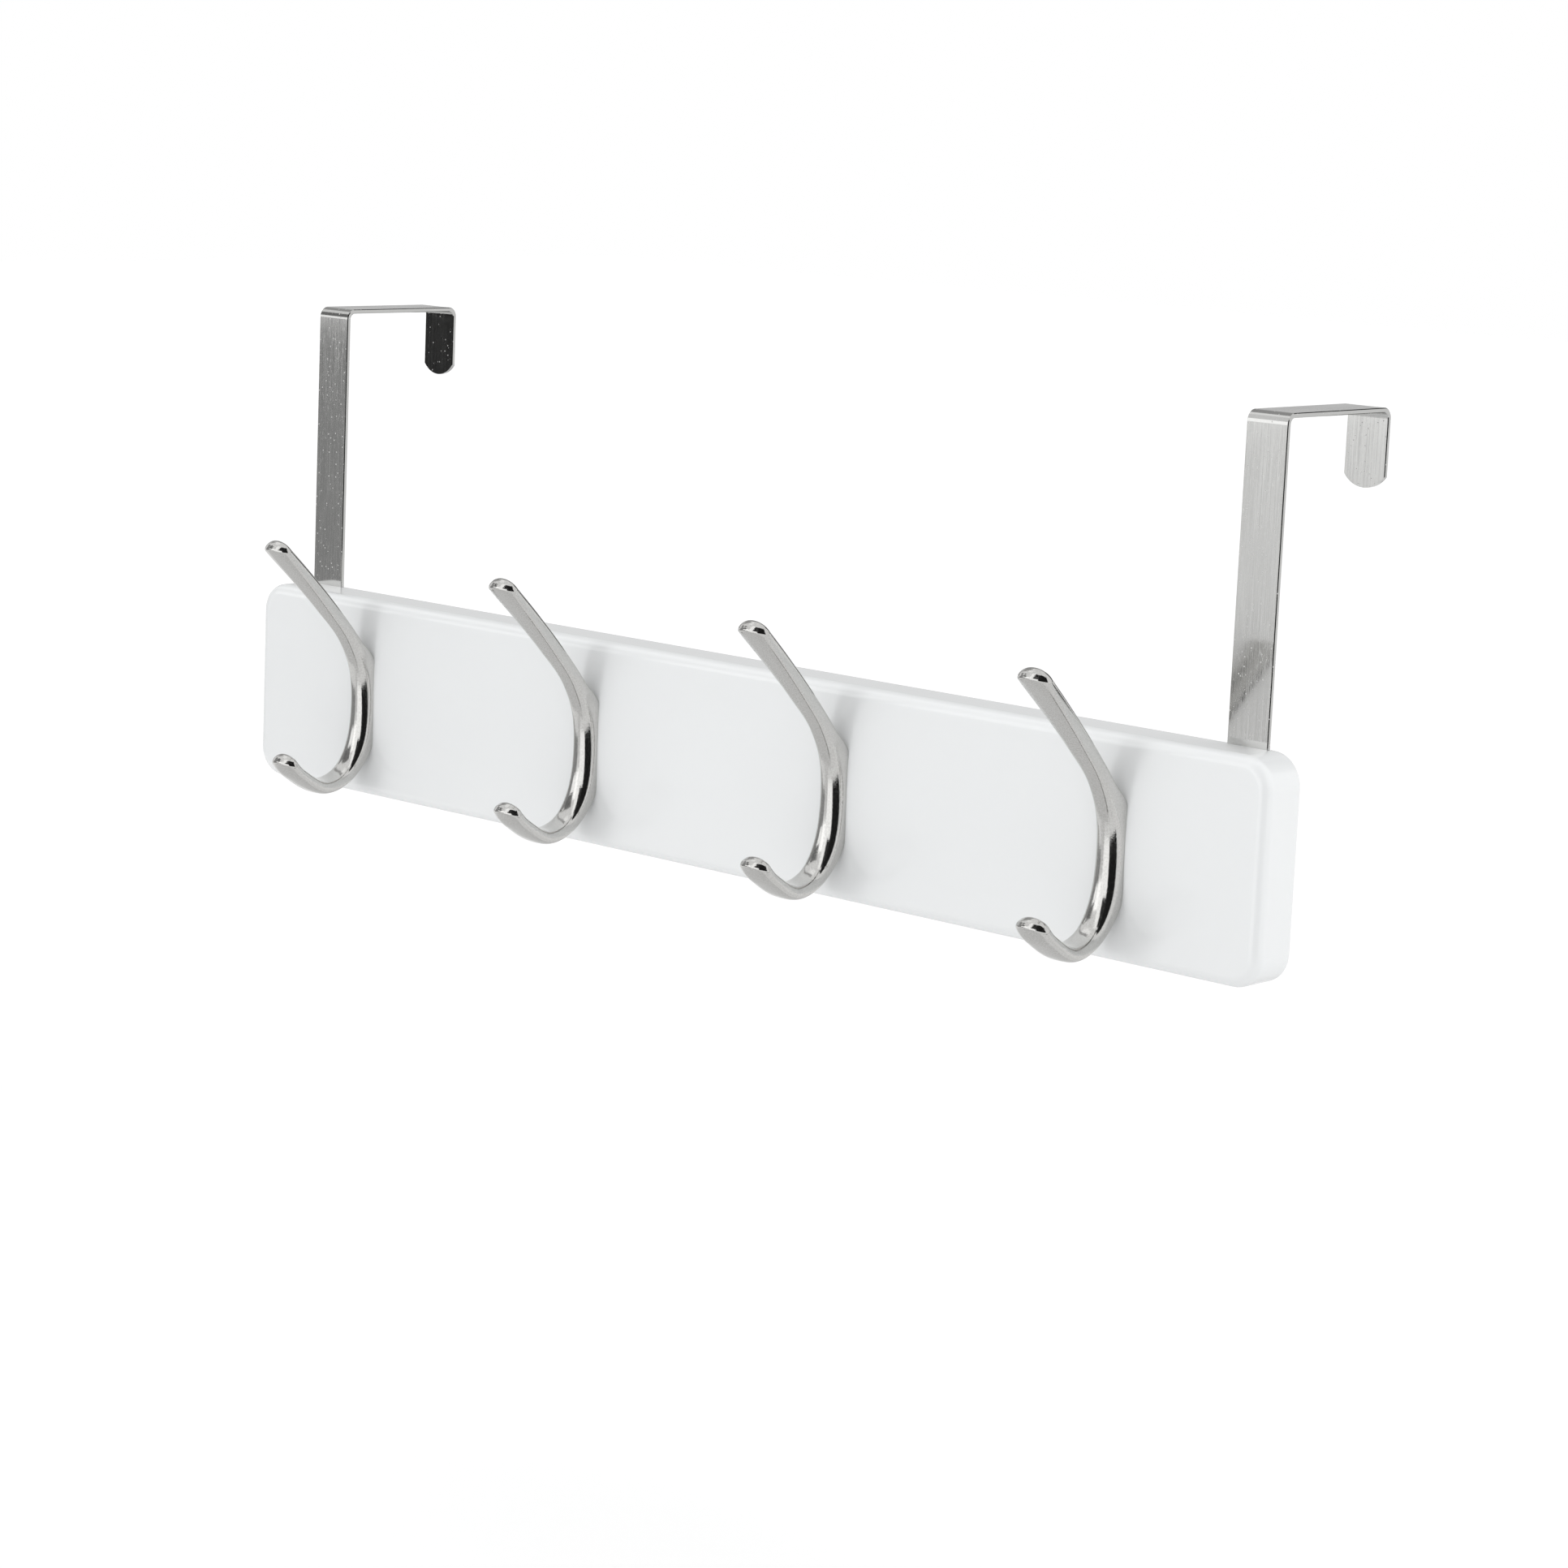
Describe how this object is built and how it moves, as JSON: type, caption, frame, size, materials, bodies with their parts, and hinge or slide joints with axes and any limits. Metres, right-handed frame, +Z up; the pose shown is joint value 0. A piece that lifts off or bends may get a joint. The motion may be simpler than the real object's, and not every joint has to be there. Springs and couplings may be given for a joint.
{
  "type": "over door hook",
  "caption": "Over-door coat rack: a white lacquered board with cast double hooks, hung by folded steel straps that grip the top of a door.",
  "frame": {"origin": "centre of the board's back face, which lies against the door", "axes": "+X along the board to its right end seen from the front, +Y into the door, +Z up"},
  "size_m": [0.45, 0.1125, 0.17],
  "materials": {
    "lacquer": "gloss white lacquer on fibreboard",
    "plated_cast": "nickel-plated casting, polished",
    "band_steel": "stainless band, brushed along its length",
    "screw_zinc": "zinc-plated steel"
  },
  "bodies": {
    "root": {"board": "lacquer", "hook_1": "plated_cast", "hook_2": "plated_cast", "hook_3": "plated_cast", "hook_4": "plated_cast", "strap_left": "band_steel", "strap_right": "band_steel", "hook_screws": "screw_zinc", "strap_screws": "screw_zinc"}
  },
  "joints": []
}
